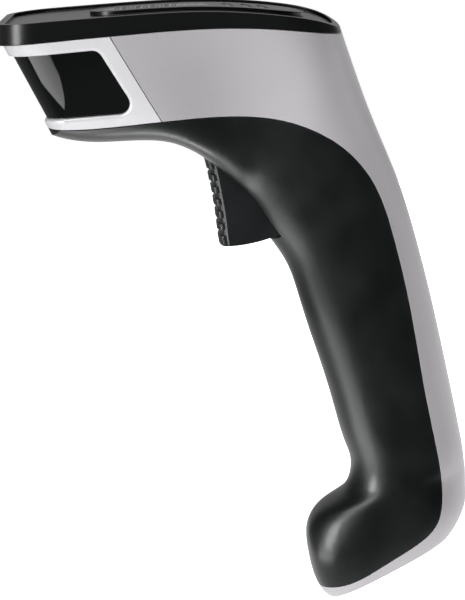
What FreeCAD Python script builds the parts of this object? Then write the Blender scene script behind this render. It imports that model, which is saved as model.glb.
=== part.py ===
import FreeCAD, Part
import math
import os

from FreeCAD import Vector

# ---------------------------------------------------------------- frame
# Handheld barcode scanner, in millimetres. +Z is up with the head level,
# the nose points to -X and Y runs across. The origin is the centre of the
# flat face under the handle.

# ---------------------------------------------------------------- driving sizes
# shells
HEAD_HALF_WIDTH = 31.0
WALL = 2.2                # moulded shell thickness
SEAM_GAP = 0.12           # each shell stays this far from the shared parting line
FIT = 0.2                 # room around a part that drops into a pocket
LOOSE = 0.02              # air between parts that sit on one another
ROOTED = 0.6 * WALL       # ribs and bosses start this deep inside the wall
BASE_ANGLE = 28.0         # degrees that the base face rises towards the heel
NOSE_ANGLE = 118.2        # degrees from +X up to the line of the nose face
SIDE_TRIM = 0.02          # taken off the flat sides of the head
NOSE_POINT = (-101.25, 140.1)
NOSE_CORNER = 11.5        # round of the upright nose corners
LID_FRONT = -108.8
LID_CORNER = 12.0
WEB_X = (-4.5, 14.0)      # stiffening web inside the back of the neck
WEB_Z = (101.0, 109.5)
WEB_HALF = 0.9

# window
WINDOW_CORNER = 3.0
WINDOW_SINK = 1.5         # window face below the bezel at the sides
WINDOW_SINK_FRONT = 1.1   # and at the front
WINDOW_THICK = 1.6
WINDOW_MARGIN = 2.0       # window hidden behind the bezel's lip
LIP_ROUND = 1.0           # round on the bezel's edge along the opening
SEAL_THICK = 0.88

# top cover
RIM_WIDTH = 2.2           # raised rim round the top cover
RIM_HEIGHT = 0.9
COVER_WALL = 1.8
ISLAND_X = (-84.0, -24.0)
ISLAND_HALF = 10.0
ISLAND_HEIGHT = 1.1
LABEL_X = (-80.5, -50.5)
LABEL_HALF = 5.6
LABEL_DEPTH = 0.35
LABEL_ROOM = 0.05         # gap all round the label
LIGHT_X = (-45.2, -40.0, -35.5)
LIGHT_SLANT = 15.0        # degrees that the indicator windows lean
LIGHT_LENGTH = 8.6
LIGHT_WIDTH = 1.8
LENS_SINK = 0.15          # indicator lens below the island's surface

# trigger
PIVOT = (-45.5, 123.0)    # trigger pin centre
TRIGGER_HALF = 11.7
TRIGGER_REACH = 29.9      # from the pin to the trigger's lower edge
TRIGGER_PULL = 6.0        # degrees from rest to fully pulled
TRIGGER_REAR_ANGLE = -56.0  # where the lower edge ends, seen from the pin
TRIGGER_ROOM = 0.5        # gap round the trigger in its slot
TRIGGER_WALL = 2.2
PAD_CROWN = 1.1           # bulge of the pad's front across its width
PAD_CORNER = 1.2
PAD_DEPTH = 2.7           # ribbed pad, front to ridge
RIDGE = 0.5               # slanted step from the pad out to the trigger's sides
RIBS = 7
RIB_PITCH = 3.75
TOP_GROOVE = 115.2        # height of the uppermost groove
GROOVE_TILT = -12.0       # degrees, square to the pad
GROOVE_HEIGHT = 1.7
GROOVE_DEPTH = 0.9
PIN_RADIUS = 1.5
PIN_CLEARANCE = 0.05
PIN_BOSS = 4.2

# trigger bracket, spring and switch
BRACKET_INNER = 12.4
BRACKET_OUTER = 14.4
BRACKET_SHEET = 2.0
BRACKET_TOP = 133.0
BRACKET_EAR = 3.6
SPRING_X = -36.0
SPRING_LOW = 119.6
SPRING_HIGH = 130.9
SPRING_COIL = 2.4
SPRING_WIRE = 0.28
SPRING_TURNS = 6
SPRING_STEPS = 12         # spots on each turn
SWITCH_Z = 104.0
SWITCH_FRONT = -31.0
SWITCH_BACK = -25.6
SWITCH_HALF = (3.6, 3.2)  # half width and half height
PLUNGER_TIP = -33.3
PLUNGER_LENGTH = 4.3
PLUNGER_RADIUS = 1.5
PLUNGER_ROOM = 0.06

# screws: thread radii and the extra radius of their holes
M2 = 1.0
M3 = 1.5
HOLE = 0.03               # where the thread grips
FREE_HOLE = 0.15          # where it passes freely

# main board
BOARD = 1.6               # thickness of every circuit board
BOARD_TOP = 148.6
BOARD_X = (-71.0, -28.0)
BOARD_HALF = 24.0
BOARD_SCREWS = [(x, y) for x in (-64.0, -33.0) for y in (-21.5, 21.5)]
LEDGE_HALF = 3.0
LEDGE_LOW = 142.0

# scan engine
ENGINE_X = (-92.0, -76.0)
ENGINE_HALF = 14.0
ENGINE_Z = (133.0, 146.0)
ENGINE_MIDDLE = 0.5 * (ENGINE_Z[0] + ENGINE_Z[1])
ENGINE_SCREWS = [(x, y) for x in (-88.0, -80.0) for y in (-11.0, 11.0)]
LENS_Y = -4.0
LENS_RADIUS = 4.6
LAMP_Y = (7.0, 10.5)
LAMP_RADIUS = 1.5
AIMER_Y = -11.0
AIMER_RADIUS = 1.25
TRAY_SHEET = 1.6

# battery in the grip
CELL_RADIUS = 9.2
CELL_LENGTH = 65.0
CELL_TOP = (-9.7, 92.0)
CELL_ANGLE = -75.3
HOLDER_INNER = CELL_RADIUS + 0.3
HOLDER_OUTER = CELL_RADIUS + 2.0
HOLDER_SCREWS = (12.0, 54.0)   # along the cell from its top
HOLDER_SCREW_LENGTH = 4.9
BOSS_RADIUS = 2.6

# base face
BASE_SCREWS = (-12.5, 14.5)    # along the base face
BASE_BOSS = 3.2
PORT_WIDTH = 9.0
PORT_DEPTH = 3.2
PORT_HEIGHT = 7.0
PORT_SHEET = 0.3
PORT_ROOM = 0.4                # gap between the port and the shell
CHARGE_BOARD = (5.6, 6.8)      # heights above the base face

# ---------------------------------------------------------------- outer form
# The outer form is one bent tube from the nose to the base. Each station is
# a flat closed section: where it starts on the underside of the head or on
# the front of the grip (x, z), the angle of its plane from +X towards +Z,
# its depth, its half width at the start and at the far end, and its
# roundness at both (2 is an ellipse, more is squarer).
STATIONS = (
    (-108.0, 137.0, 118.6, 63.0, 31.0, 31.0, 6.0, 6.0),
    (-96.0, 127.0, 118.6, 74.0, 31.0, 31.0, 6.0, 6.0),
    (-86.0, 124.2, 117.0, 76.0, 31.0, 31.0, 6.0, 6.0),
    (-74.0, 124.2, 112.0, 73.0, 31.0, 31.0, 6.0, 6.0),
    (-63.0, 124.0, 106.0, 70.5, 30.5, 31.0, 5.6, 5.6),
    (-55.5, 121.3, 96.0, 69.5, 28.0, 31.0, 5.0, 5.0),
    (-49.5, 117.0, 86.0, 68.0, 24.0, 31.0, 4.4, 4.4),
    (-43.7, 111.0, 76.0, 66.0, 20.5, 30.5, 3.8, 3.8),
    (-40.8, 107.6, 68.0, 61.0, 19.0, 29.5, 3.3, 3.3),
    (-38.0, 103.5, 60.0, 52.8, 18.2, 27.0, 3.0, 3.0),
    (-33.8, 96.0, 48.0, 44.3, 17.6, 22.0, 2.7, 2.7),
    (-28.5, 88.0, 38.0, 39.7, 17.4, 18.6, 2.5, 2.5),
    (-24.6, 76.9, 30.0, 37.8, 17.2, 17.4, 2.4, 2.4),
    (-20.0, 63.0, 24.0, 36.0, 17.0, 17.0, 2.3, 2.3),
    (-15.3, 48.3, 19.0, 34.2, 17.0, 17.0, 2.3, 2.3),
    (-11.6, 36.0, 15.5, 33.0, 17.0, 17.0, 2.3, 2.3),
    (-9.8, 28.0, 13.0, 32.7, 17.0, 17.0, 2.35, 2.35),
    (-12.2, 21.8, 16.3, 36.2, 17.0, 17.0, 2.4, 2.35),
    (-19.4, 16.4, 17.0, 44.2, 17.6, 17.1, 2.6, 2.35),
    (-22.5, 10.0, 19.9, 48.5, 19.2, 17.5, 2.9, 2.4),
    (-22.0, 4.0, 23.5, 49.2, 20.1, 18.0, 3.3, 2.45),
    (-20.8, -1.0, 25.5, 48.8, 19.6, 18.0, 3.3, 2.5),
    (-18.8, -5.6, 27.2, 45.8, 18.2, 17.0, 3.2, 2.6),
    (-16.0, -8.5, 28.0, 39.7, 15.8, 14.8, 3.0, 2.7),
)
SECTION_POINTS = 48
PARTING_STEPS = 60

# Side-view lines (x, z). The first four are smooth curves through their points.
PARTING = (
    (-125.0, 130.5), (-104.0, 128.8), (-88.0, 128.4), (-66.0, 130.4), (-45.0, 131.7),
    (-28.0, 130.0), (-14.0, 123.3), (-4.6, 112.4), (1.4, 96.2), (6.0, 77.0),
    (10.7, 51.2), (14.2, 34.5), (15.6, 23.5), (13.8, 14.4), (8.6, 9.4),
    (0.0, 3.8), (-12.0, -3.0), (-20.0, -4.6), (-30.0, -5.0),
)
LID_LOWER = ((-118.0, 150.0), (-109.0, 151.1), (-78.0, 154.3), (-45.0, 156.4),
             (-13.0, 153.9), (-2.0, 151.6))
LID_UPPER = ((-122.0, 155.2), (-109.0, 156.9), (-80.0, 159.5), (-50.0, 161.0), (-31.0, 159.9),
             (-22.0, 158.5), (-16.5, 156.7), (-12.5, 154.4), (0.0, 146.5))
SEAM_LINE = ((-84.0, 165.4), (-55.0, 117.3))     # front bezel against main housing
WINDOW_OPENING = ((-120.0, 146.7), (-80.6, 150.6), (-69.8, 133.4), (-115.0, 129.6))
TRIGGER_FRONT = ((-53.6, 125.0), (-52.2, 118.5), (-50.8, 112.8), (-49.7, 107.1),
                 (-48.8, 101.4), (-48.2, 96.5), (-47.0, 91.5), (-45.8, 86.0))


# ---------------------------------------------------------------- helpers
def unit(angle):
    """Unit vector in the XZ plane at an angle from +X towards +Z."""
    return Vector(math.cos(math.radians(angle)), 0, math.sin(math.radians(angle)))


def at(x, z, y=0.0):
    return Vector(x, y, z)


ACROSS = Vector(0, 1, 0)
UP = Vector(0, 0, 1)
AHEAD = Vector(-1, 0, 0)
BASE_NORMAL = unit(BASE_ANGLE - 90.0)
BASE_ALONG = unit(BASE_ANGLE)
CELL_DOWN = unit(CELL_ANGLE)
CELL_BACK = unit(CELL_ANGLE + 90.0)


def smooth(value):
    """Ease from 0 to 1 with flat ends."""
    return value * value * (3.0 - 2.0 * value)


def box(x0, x1, y0, y1, z0, z1):
    return Part.makeBox(x1 - x0, y1 - y0, z1 - z0, Vector(x0, y0, z0))


def rod(start, direction, length, radius):
    return Part.makeCylinder(radius, length, start, direction)


def across(x, z, radius, half_length):
    """Cylinder along Y, centred on the middle plane."""
    return rod(at(x, z, -half_length), ACROSS, 2 * half_length, radius)


def through(wire_or_face, half_width=60.0):
    """Push a side-view face through the whole width."""
    face = wire_or_face if wire_or_face.ShapeType == "Face" else Part.Face(wire_or_face)
    face = face.copy()
    face.translate(ACROSS * -half_width)
    return face.extrude(ACROSS * (2 * half_width))


def edges_along(shape, axis):
    """The straight edges of a shape that run along an axis."""
    return [edge for edge in shape.Edges if abs(edge.tangentAt(edge.FirstParameter).dot(axis)) > 0.99]


def side_polygon(points):
    return Part.makePolygon([at(x, z) for x, z in points] + [at(*points[0])])


def side_curve(points):
    curve = Part.BSplineCurve()
    curve.interpolate(Points=[at(x, z) for x, z in points])
    return curve.toShape()


def region(points, corners):
    """Side-view face bounded by a smooth line and then by straight corners."""
    curve = side_curve(points)
    rest = [points[-1]] + list(corners) + [points[0]]
    edges = [Part.makeLine(at(*a), at(*b)) for a, b in zip(rest[:-1], rest[1:])]
    return Part.Face(Part.Wire([curve] + edges))


def rounded_polygon(points, radius, round_at):
    """Closed side-view polygon whose corners listed in round_at are round."""
    count = len(points)
    corners = [at(x, z) for x, z in points]
    starts = []
    ends = []
    arcs = []
    edges = []
    for i in range(count):
        here = corners[i]
        if i not in round_at:
            starts.append(here)
            ends.append(here)
            arcs.append(None)
            continue
        to_last = (corners[i - 1] - here).normalize()
        to_next = (corners[(i + 1) % count] - here).normalize()
        half = 0.5 * to_last.getAngle(to_next)
        reach = radius / math.tan(half)
        middle = here + (to_last + to_next).normalize() * (radius / math.sin(half) - radius)
        first = here + to_last * reach
        last = here + to_next * reach
        starts.append(first)
        ends.append(last)
        arcs.append(Part.Arc(first, middle, last).toShape())
    for i in range(count):
        if arcs[i] is not None:
            edges.append(arcs[i])
        edges.append(Part.makeLine(ends[i], starts[(i + 1) % count]))
    return Part.Wire(edges)


def one(shape):
    """The largest solid of a result."""
    return max(shape.Solids, key=lambda solid: solid.Volume)


# ---------------------------------------------------------------- bent tube
def section_points(station, inset):
    """Points of one section, from its start round to its start again."""
    x, z, angle, depth, start_half, end_half, start_power, end_power = station
    along = unit(angle)
    start = at(x, z) + along * inset
    points = []
    for i in range(SECTION_POINTS):
        turn = 2 * math.pi * i / SECTION_POINTS
        c = -math.cos(turn)
        s = math.sin(turn)
        power = start_power + (end_power - start_power) * smooth(0.5 + 0.5 * c)
        reach = (abs(c) ** power + abs(s) ** power) ** (-1.0 / power)
        share = 0.5 + 0.5 * c * reach
        half = start_half + (end_half - start_half) * smooth(share) - inset
        points.append(start + along * ((depth - 2 * inset) * share) + Vector(0, half * s * reach, 0))
    return points


def station_places():
    """Running place of each station: mean of the lengths on both sides."""
    places = [0.0]
    for first, second in zip(STATIONS[:-1], STATIONS[1:]):
        near = (at(*second[:2]) - at(*first[:2])).Length
        ends = [at(*station[:2]) + unit(station[2]) * station[3] for station in (first, second)]
        far = (ends[1] - ends[0]).Length
        places.append(places[-1] + 0.5 * (near + far))
    return places


def skin(sections, places):
    """Solid with a smooth side through closed flat sections, and flat ends."""
    count = len(sections[0])
    rows = []
    for section in sections:
        curve = Part.BSplineCurve()
        curve.interpolate(Points=section, PeriodicFlag=True, Parameters=[float(i) for i in range(count + 1)])
        rows.append(curve)
    row_poles = [row.getPoles() for row in rows]
    columns = []
    for i in range(len(row_poles[0])):
        curve = Part.BSplineCurve()
        curve.interpolate(Points=[poles[i] for poles in row_poles], Parameters=places)
        columns.append(curve)
    surface = Part.BSplineSurface()
    surface.buildFromPolesMultsKnots(
        [column.getPoles() for column in columns],
        rows[0].getMultiplicities(), columns[0].getMultiplicities(),
        rows[0].getKnots(), columns[0].getKnots(),
        True, False, rows[0].Degree, columns[0].Degree)
    ends = [Part.Face(Part.Wire([surface.vIso(v).toShape()])) for v in (places[0], places[-1])]
    shell = Part.makeShell([surface.toShape()] + ends)
    shell.sewShape()
    solid = Part.makeSolid(shell)
    if solid.Volume < 0:
        solid.reverse()
    return solid


def tube(inset=0.0):
    """The closed outer form, drawn in by inset on every side."""
    return skin([section_points(station, inset) for station in STATIONS], station_places())


def round_rod(spots, radius, corners=12):
    """Round wire that bends through a list of close spots."""
    sections = []
    places = [0.0]
    for i, spot in enumerate(spots):
        along = (spots[min(i + 1, len(spots) - 1)] - spots[max(i - 1, 0)]).normalize()
        side = along.cross(UP if abs(along.z) < 0.9 else ACROSS).normalize()
        other = along.cross(side)
        section = []
        for j in range(corners):
            turn = 2 * math.pi * j / corners
            section.append(spot + side * (radius * math.cos(turn)) + other * (radius * math.sin(turn)))
        sections.append(section)
        if i:
            places.append(places[-1] + (spot - spots[i - 1]).Length)
    return skin(sections, places)


def round_front(origin, back, half, corner):
    """Face from origin along back, half wide to each side, with round front corners."""
    def spot(depth, y):
        return origin + back * depth + ACROSS * y

    cut = corner * (1 - math.sqrt(0.5))
    length = 260.0
    edges = [
        Part.Arc(spot(corner, -half), spot(cut, -half + cut), spot(0, -half + corner)).toShape(),
        Part.makeLine(spot(0, -half + corner), spot(0, half - corner)),
        Part.Arc(spot(0, half - corner), spot(cut, half - cut), spot(corner, half)).toShape(),
        Part.makeLine(spot(corner, half), spot(length, half)),
        Part.makeLine(spot(length, half), spot(length, -half)),
        Part.makeLine(spot(length, -half), spot(corner, -half)),
    ]
    return Part.Face(Part.Wire(edges))


def nose_block(front=0.0, side=0.0):
    """Everything behind the nose face, with its round upright corners."""
    up = unit(NOSE_ANGLE)
    back = unit(NOSE_ANGLE - 90.0)
    origin = at(*NOSE_POINT) + back * front - up * 210.0
    face = round_front(origin, back, HEAD_HALF_WIDTH - SIDE_TRIM - side, NOSE_CORNER - side)
    return face.extrude(up * 330.0)


def lid_block(inset=0.0):
    """Upright block with the lid's round front corners."""
    half = HEAD_HALF_WIDTH - SIDE_TRIM - inset
    face = round_front(at(LID_FRONT + inset, 60.0), AHEAD * -1.0, half, LID_CORNER - inset)
    return face.extrude(UP * 160.0)


# In the regions below, the straight corners only have to lie outside the body.
def below_lid(drop=0.0):
    """Everything under the lid's lower edge line."""
    points = [(x, z - drop) for x, z in LID_LOWER]
    return through(region(points, ((58, 150), (60, -60), (-170, -60), (-170, 147 - drop))))


def under_top(drop=0.0):
    """Everything under the lid's top surface."""
    points = [(x, z - drop) for x, z in LID_UPPER]
    return through(region(points, ((60, 120), (60, -60), (-170, -60), (-170, 150))))


def parting_line(gap):
    """The parting line moved gap towards the silver side."""
    curve = Part.BSplineCurve()
    curve.interpolate(Points=[at(x, z) for x, z in PARTING])
    first, last = curve.FirstParameter, curve.LastParameter
    points = []
    for i in range(PARTING_STEPS + 1):
        spot = first + (last - first) * i / PARTING_STEPS
        along = curve.tangent(spot)[0]
        here = curve.value(spot)
        points.append((here.x - gap * along.z, here.z + gap * along.x))
    return points


def silver_side(gap):
    """Everything above and behind the parting line, kept gap away from it."""
    corners = ((-30, -60), (90, -60), (90, 240), (-180, 240), (-180, 130.5))
    return through(region(parting_line(gap), corners))


def black_side(gap):
    """Everything under and in front of the parting line, kept gap away from it."""
    return through(region(parting_line(-gap), ((-200, -5), (-200, 130.5))))


def behind_seam(gap):
    """Everything behind the seam between the bezel and the main housing."""
    (x0, z0), (x1, z1) = SEAM_LINE
    return through(side_polygon(((x0 + gap, 240), (x0 + gap, z0), (x1 + gap, z1), (x1 + gap, -80),
                                 (90, -80), (90, 240))))


def ahead_of_seam(gap):
    (x0, z0), (x1, z1) = SEAM_LINE
    return through(side_polygon(((x0 - gap, z0), (x1 - gap, z1), (x1 - gap, 60), (-200, 60), (-200, z0))))


OUTER = tube()
INNER = tube(WALL)
HULL = OUTER.common(nose_block())
CAVITY = INNER.common(nose_block(WALL, WALL))


def above_base(height):
    """Everything more than height above the base face."""
    start = BASE_NORMAL * -height - BASE_ALONG * 200.0
    face = Part.makePolygon([start, start + BASE_ALONG * 400.0,
                             start + BASE_ALONG * 400.0 - BASE_NORMAL * 400.0,
                             start - BASE_NORMAL * 400.0, start])
    return through(face)


def on_base(shape):
    """Turn a shape drawn over a level base so that it stands on the tilted one."""
    shape = shape.copy()
    shape.rotate(Vector(0, 0, 0), ACROSS, -BASE_ANGLE)
    return shape


# ---------------------------------------------------------------- shells
def body_shell():
    """The hollow body under the top cover, before it is split into its mouldings."""
    hollow = CAVITY.common(above_base(WALL))
    return HULL.cut(hollow).common(below_lid(SEAM_GAP))


SHELL = body_shell()
def cell_point(down, back=0.0, y=0.0):
    """Point measured along the cell from its top, and back and across from its axis."""
    return at(*CELL_TOP) + CELL_DOWN * down + CELL_BACK * back + ACROSS * y


def slot_stadium(width, depth, z0, z1):
    """Upright bar with round ends, width along Y and depth along X."""
    flat = 0.5 * (width - depth)
    bar = box(-0.5 * depth, 0.5 * depth, -flat, flat, z0, z1)
    for y in (-flat, flat):
        bar = bar.fuse(rod(Vector(0, y, z0), UP, z1 - z0, 0.5 * depth))
    return bar.removeSplitter()


def board_ledges():
    """Four shelves inside the head that carry the main board."""
    ledges = []
    for x, y in BOARD_SCREWS:
        side = 1 if y > 0 else -1
        edge = side * (HEAD_HALF_WIDTH + 2.0)
        inner = side * (abs(y) - 2.6)
        low, high = min(inner, edge), max(inner, edge)
        ledge = box(x - LEDGE_HALF, x + LEDGE_HALF, low, high, LEDGE_LOW, BOARD_TOP - BOARD)
        ledge = ledge.common(tube(ROOTED))
        ledges.append(ledge.cut(rod(Vector(x, y, LEDGE_LOW - 2.0), UP, 20, M2 + HOLE)))
    return ledges


def holder_bosses():
    """Two bosses on the back wall that take the battery holder's screws."""
    bosses = []
    for down in HOLDER_SCREWS:
        boss = rod(cell_point(down, HOLDER_OUTER + 0.1), CELL_BACK, 12.0, BOSS_RADIUS).common(tube(ROOTED))
        bosses.append(boss.cut(rod(cell_point(down), CELL_BACK, HOLDER_OUTER + 5.0, M2 + HOLE)))
    return bosses


def main_housing():
    shell = one(SHELL.common(silver_side(SEAM_GAP)).common(behind_seam(SEAM_GAP)))
    web = box(WEB_X[0], WEB_X[1], -WEB_HALF, WEB_HALF, WEB_Z[0], WEB_Z[1]).common(tube(ROOTED))
    shell = shell.fuse(board_ledges() + holder_bosses() + [web])
    port = slot_stadium(PORT_WIDTH + 2 * PORT_ROOM, PORT_DEPTH + 2 * PORT_ROOM, -5, 8)
    shell = shell.cut(on_base(port))
    radius = M3 + 0.2
    for spot in BASE_SCREWS:
        hole = rod(Vector(spot, 0, -5), UP, 12, radius)
        sink = Part.makeCone(BASE_BOSS, radius, 1.6, Vector(spot, 0, 0), UP)
        shell = shell.cut([on_base(hole), on_base(sink)])
    return one(shell)


# ---------------------------------------------------------------- window and bezel
def opening_face(grow):
    """Side view of the window opening, grown all round."""
    wire = rounded_polygon(WINDOW_OPENING, WINDOW_CORNER, (1, 2))
    face = Part.Face(wire)
    return face.makeOffset2D(grow) if grow else face


def window_layer(outside, inside, grow, room=0.0):
    """A skin of the nose between two depths, inside the opening grown by grow."""
    front = WINDOW_SINK_FRONT - WINDOW_SINK
    outer = tube(outside - room).common(nose_block(outside + front - room, outside - room))
    inner = tube(inside + room).common(nose_block(inside + front + room, inside + room))
    return outer.cut(inner).common(through(opening_face(grow + room)))


def scan_window():
    return one(window_layer(WINDOW_SINK, WINDOW_SINK + WINDOW_THICK, WINDOW_MARGIN))


def window_seal():
    start = WINDOW_SINK + WINDOW_THICK
    ring = window_layer(start + LOOSE, start + LOOSE + SEAL_THICK, WINDOW_MARGIN - 0.1)
    return one(ring.cut(through(opening_face(-0.2))))


def lip_edges(bezel, opening):
    """The edges where the opening's walls meet the outer skin."""
    walls = [face for face in opening.Faces if abs(face.normalAt(0, 0).y) < 0.5]
    edges = []
    for edge in bezel.Edges:
        middle = Part.Vertex(edge.valueAt(0.5 * (edge.FirstParameter + edge.LastParameter)))
        on_skin = HULL.Shells[0].distToShape(middle)[0] < 0.01
        if on_skin and min(wall.distToShape(middle)[0] for wall in walls) < 0.01:
            edges.append(edge)
    return edges


def front_bezel():
    shell = one(SHELL.common(silver_side(SEAM_GAP)).common(ahead_of_seam(SEAM_GAP)))
    opening = through(opening_face(0))
    shell = one(shell.cut(opening))
    shell = shell.makeFillet(LIP_ROUND, lip_edges(shell, opening))
    pocket = window_layer(WINDOW_SINK, WINDOW_SINK + WINDOW_THICK + 3.0, WINDOW_MARGIN, 0.05)
    return one(shell.cut(pocket))


# ---------------------------------------------------------------- trigger and its slot
def trigger_block(shrink=0.0):
    """Upright block with the trigger's ribbed pad on its front, drawn in by shrink."""
    half = TRIGGER_HALF - shrink
    pad = half - RIDGE
    flat = pad - PAD_CORNER
    bend = PAD_CORNER * (1 - math.sqrt(0.5))
    wires = []
    for front_x, z in TRIGGER_FRONT:
        x = front_x + shrink
        turn = x + PAD_CROWN
        edge = turn + PAD_CORNER
        ridge = x + PAD_DEPTH
        spots = [at(edge, z, -pad), at(turn, z, -flat), at(turn, z, flat), at(edge, z, pad),
                 at(ridge, z, pad), at(ridge + RIDGE, z, half), at(-20, z, half),
                 at(-20, z, -half), at(ridge + RIDGE, z, -half), at(ridge, z, -pad)]
        edges = [Part.Arc(spots[0], at(turn + bend, z, -pad + bend), spots[1]).toShape(),
                 Part.Arc(spots[1], at(x, z, 0), spots[2]).toShape(),
                 Part.Arc(spots[2], at(turn + bend, z, pad - bend), spots[3]).toShape()]
        edges += [Part.makeLine(first, last) for first, last in zip(spots[3:], spots[4:] + spots[:1])]
        wires.append(Part.Wire(edges))
    return Part.makeLoft(wires, True, False)


def pivot_sector(radius, rear_angle, rear_x, rise=0.0):
    """Side view of the trigger or its slot, the lower edge an arc about the pin, flattened by rise."""
    middle = at(*PIVOT)
    low_front = middle + unit(-108.0) * radius
    low_middle = middle + unit(-84.0) * (radius - rise)
    low_rear = middle + unit(rear_angle) * radius
    corners = [low_rear, at(rear_x, 104.0), at(rear_x - 3.0, 118.0), at(rear_x - 5.5, 129.0),
               at(-62.0, 129.0), at(-62.0, low_front.z), low_front]
    edges = [Part.Arc(low_front, low_middle, low_rear).toShape()]
    edges += [Part.makeLine(first, last) for first, last in zip(corners[:-1], corners[1:])]
    return through(Part.Face(Part.Wire(edges)))


def trigger_slot():
    """Room for the trigger at rest and all the way to the end of its pull."""
    sector = pivot_sector(TRIGGER_REACH + TRIGGER_ROOM, TRIGGER_REAR_ANGLE + TRIGGER_PULL + 1.5, -25.4)
    return trigger_block(-TRIGGER_ROOM).common(sector)


def base_bosses():
    """Two bosses on a rib each, inside the foot, for the base screws."""
    bosses = []
    low = 4.6
    for spot in BASE_SCREWS:
        boss = rod(Vector(spot, 0, low), UP, 7.0, BASE_BOSS)
        rib = box(spot - 1.0, spot + 1.0, -30, 30, low, low + 4.4)
        bosses.append(on_base(boss.fuse(rib)).common(tube(ROOTED)).common(black_side(SEAM_GAP)))
    return bosses


def grip_housing():
    shell = one(SHELL.common(black_side(SEAM_GAP)))
    shell = shell.fuse(base_bosses())
    for spot in BASE_SCREWS:
        shell = shell.cut(on_base(rod(Vector(spot, 0, 3), UP, 12, M3 + HOLE)))
    return one(shell.cut(trigger_slot()))


# ---------------------------------------------------------------- top cover
def pill(x0, x1, half, radius):
    """Upright block with round ends."""
    block = box(x0, x1, -half, half, 100, 200)
    return block.makeFillet(radius, edges_along(block, UP))


def light_slots(grow):
    slots = []
    for x in LIGHT_X:
        slot = slot_stadium(LIGHT_LENGTH + 2 * grow, LIGHT_WIDTH + 2 * grow, 100, 200)
        slot.rotate(Vector(0, 0, 0), UP, LIGHT_SLANT)
        slot.translate(Vector(x, 0, 0))
        slots.append(slot)
    return slots


def island_top(drop=0.0):
    """Everything under the raised island's surface, lowered by drop."""
    return under_top(RIM_HEIGHT - ISLAND_HEIGHT + drop)


def top_cover():
    cover = OUTER.common(lid_block()).cut(below_lid()).common(under_top())
    rim_inside = tube(RIM_WIDTH).common(lid_block(RIM_WIDTH))
    island = pill(ISLAND_X[0], ISLAND_X[1], ISLAND_HALF, ISLAND_HALF - 0.5)
    recess = rim_inside.cut(under_top(RIM_HEIGHT)).cut(island.common(island_top()))
    cover = cover.fuse(island.common(rim_inside).common(island_top()).cut(under_top(2.0)))
    cover = cover.cut(recess)
    room = tube(WALL).common(lid_block(WALL)).common(under_top(RIM_HEIGHT + COVER_WALL))
    cover = cover.cut(room)
    label = pill(LABEL_X[0], LABEL_X[1], LABEL_HALF, LABEL_HALF - 0.3)
    cover = cover.cut([label.cut(island_top(LABEL_DEPTH))] + light_slots(0.03))
    return one(cover)


def label_plate():
    half = LABEL_HALF - LABEL_ROOM
    label = pill(LABEL_X[0] + LABEL_ROOM, LABEL_X[1] - LABEL_ROOM, half, half - 0.3)
    label = label.cut(island_top(LABEL_DEPTH - LOOSE))
    return one(label.common(island_top(LOOSE)))


def indicator_lenses():
    layer = island_top(LENS_SINK).cut(under_top(RIM_HEIGHT + COVER_WALL + 0.6))
    return Part.makeCompound([one(slot.common(layer)) for slot in light_slots(0.0)])


# ---------------------------------------------------------------- trigger parts
def grooves():
    """Cuts between the ribs: thin slices of the pad's skin, square to it."""
    pad = side_polygon([(x + PAD_DEPTH, z) for x, z in TRIGGER_FRONT] + [(-60.0, 86.0), (-60.0, 125.0)])
    skin_of_pad = trigger_block(-1.0).cut(trigger_block(GROOVE_DEPTH)).common(through(pad))
    cuts = []
    for i in range(RIBS - 1):
        z = TOP_GROOVE - RIB_PITCH * i
        slab = box(-30, 30, -TRIGGER_HALF, TRIGGER_HALF, -0.5 * GROOVE_HEIGHT, 0.5 * GROOVE_HEIGHT)
        slab.rotate(Vector(0, 0, 0), ACROSS, GROOVE_TILT)
        slab.translate(at(-50.0 + 0.2 * (z - 106), z))
        cuts.append(skin_of_pad.common(slab))
    return cuts


def trigger():
    """Hollow lever with a ribbed pad, a boss on the pin and a rib that presses the switch."""
    x, z = PIVOT
    body = trigger_block().common(pivot_sector(TRIGGER_REACH, TRIGGER_REAR_ANGLE, -28.5, 0.9))
    switch_room = ((-33.5, 107.0), (-28.0, 104.0), (-15.0, 104.0), (-15.0, 135.0),
                   (-36.0, 135.0), (-36.0, 118.0))
    body = body.cut(through(side_polygon(switch_room)))
    top_cut = box(-70, -20, -20, 20, z - 2.0, z + 17.0)
    hollow_side = side_polygon(((-60, 95.5), (-20, 97.5), (-20, 117.0), (-60, 117.0)))
    hollow = trigger_block(TRIGGER_WALL).common(through(hollow_side))
    boss = across(x, z, PIN_BOSS, TRIGGER_HALF)
    body = body.cut(top_cut).cut(hollow).fuse(boss)
    nub = across(-35.0, SWITCH_Z, 1.5, 3.0)
    rib = box(-50.0, -35.0, -1.5, 1.5, 96, 117.5).common(trigger_block(1.0))
    arm = box(-46.0, -33.0, -4.0, 4.0, 117.0, SPRING_LOW - 0.1)
    body = body.fuse([nub, rib, arm])
    body = body.cut(across(x, z, PIN_RADIUS + PIN_CLEARANCE, 30))
    body = body.cut(box(-70, -20, -7.5, 7.5, z - 3.0, z + 17.0))
    return one(body.cut(grooves()))


def trigger_pin():
    return across(PIVOT[0], PIVOT[1], PIN_RADIUS, BRACKET_OUTER)


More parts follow.
